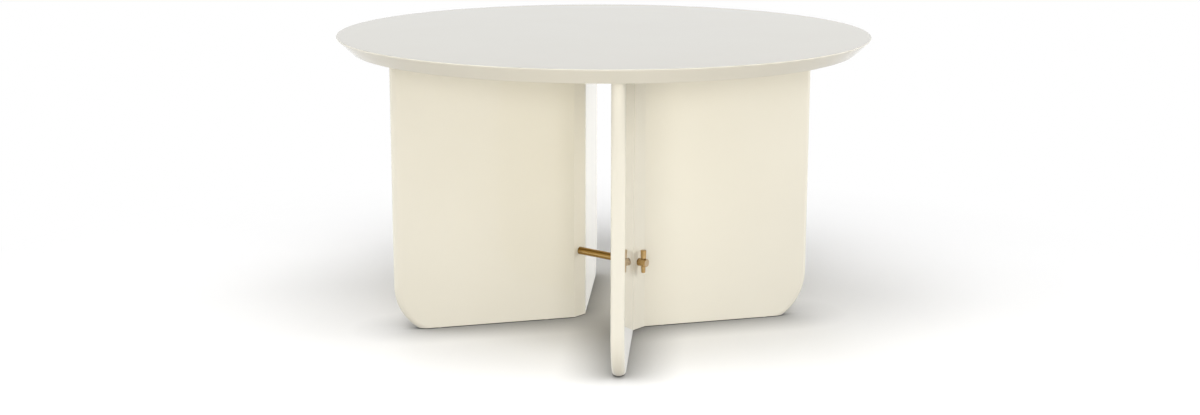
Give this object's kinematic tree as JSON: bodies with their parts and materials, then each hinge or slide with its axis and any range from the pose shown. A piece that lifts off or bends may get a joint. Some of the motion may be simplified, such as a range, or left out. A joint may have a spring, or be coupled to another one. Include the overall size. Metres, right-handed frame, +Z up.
{
  "type": "round cocktail table",
  "caption": "Low round lacquered table: a disc top with a bevelled underside on V-shaped panel legs, tied together by a brass rod with lift-out taper pins.",
  "frame": {"origin": "on the floor, under the middle of the round top", "axes": "+Z up; +X along the tie rod from the table's axis to the right leg; the picture looks from about 39 degrees round from -Y towards +X"},
  "size_m": [0.8129, 0.8129, 0.459],
  "materials": {
    "cream_lacquer": "high-gloss cream lacquer over panel board",
    "bare_plywood": "bare plywood, glued in",
    "brass": "satin brushed brass",
    "zinc_steel": "bright zinc plate",
    "insert_brass": "turned brass",
    "nylon": "moulded nylon"
  },
  "bodies": {
    "table": {"table_top": "cream_lacquer", "tie_rod": "brass", "left_post": "cream_lacquer", "right_post": "cream_lacquer", "left_side_wing": "cream_lacquer", "left_rear_wing": "cream_lacquer", "right_side_wing": "cream_lacquer", "right_front_wing": "cream_lacquer", "left_side_spline": "bare_plywood", "left_rear_spline": "bare_plywood", "right_side_spline": "bare_plywood", "right_front_spline": "bare_plywood", "left_side_bracket": "zinc_steel", "left_rear_bracket": "zinc_steel", "right_side_bracket": "zinc_steel", "right_front_bracket": "zinc_steel", "left_bracket_wood_screws": "zinc_steel", "left_bracket_bolts": "zinc_steel", "left_top_inserts": "insert_brass", "left_leg_glides": "nylon", "left_glide_nails": "zinc_steel", "right_bracket_wood_screws": "zinc_steel", "right_bracket_bolts": "zinc_steel", "right_top_inserts": "insert_brass", "right_leg_glides": "nylon", "right_glide_nails": "zinc_steel"},
    "left_pin": {"left_taper_pin": "brass"},
    "right_pin": {"right_taper_pin": "brass"}
  },
  "joints": [
    {"name": "left_pin_lift", "type": "slide", "parent": "table", "child": "left_pin", "axis": [0, 0, 1], "range_m": [0, 0.04]},
    {"name": "right_pin_lift", "type": "slide", "parent": "table", "child": "right_pin", "axis": [0, 0, 1], "range_m": [0, 0.04]}
  ]
}
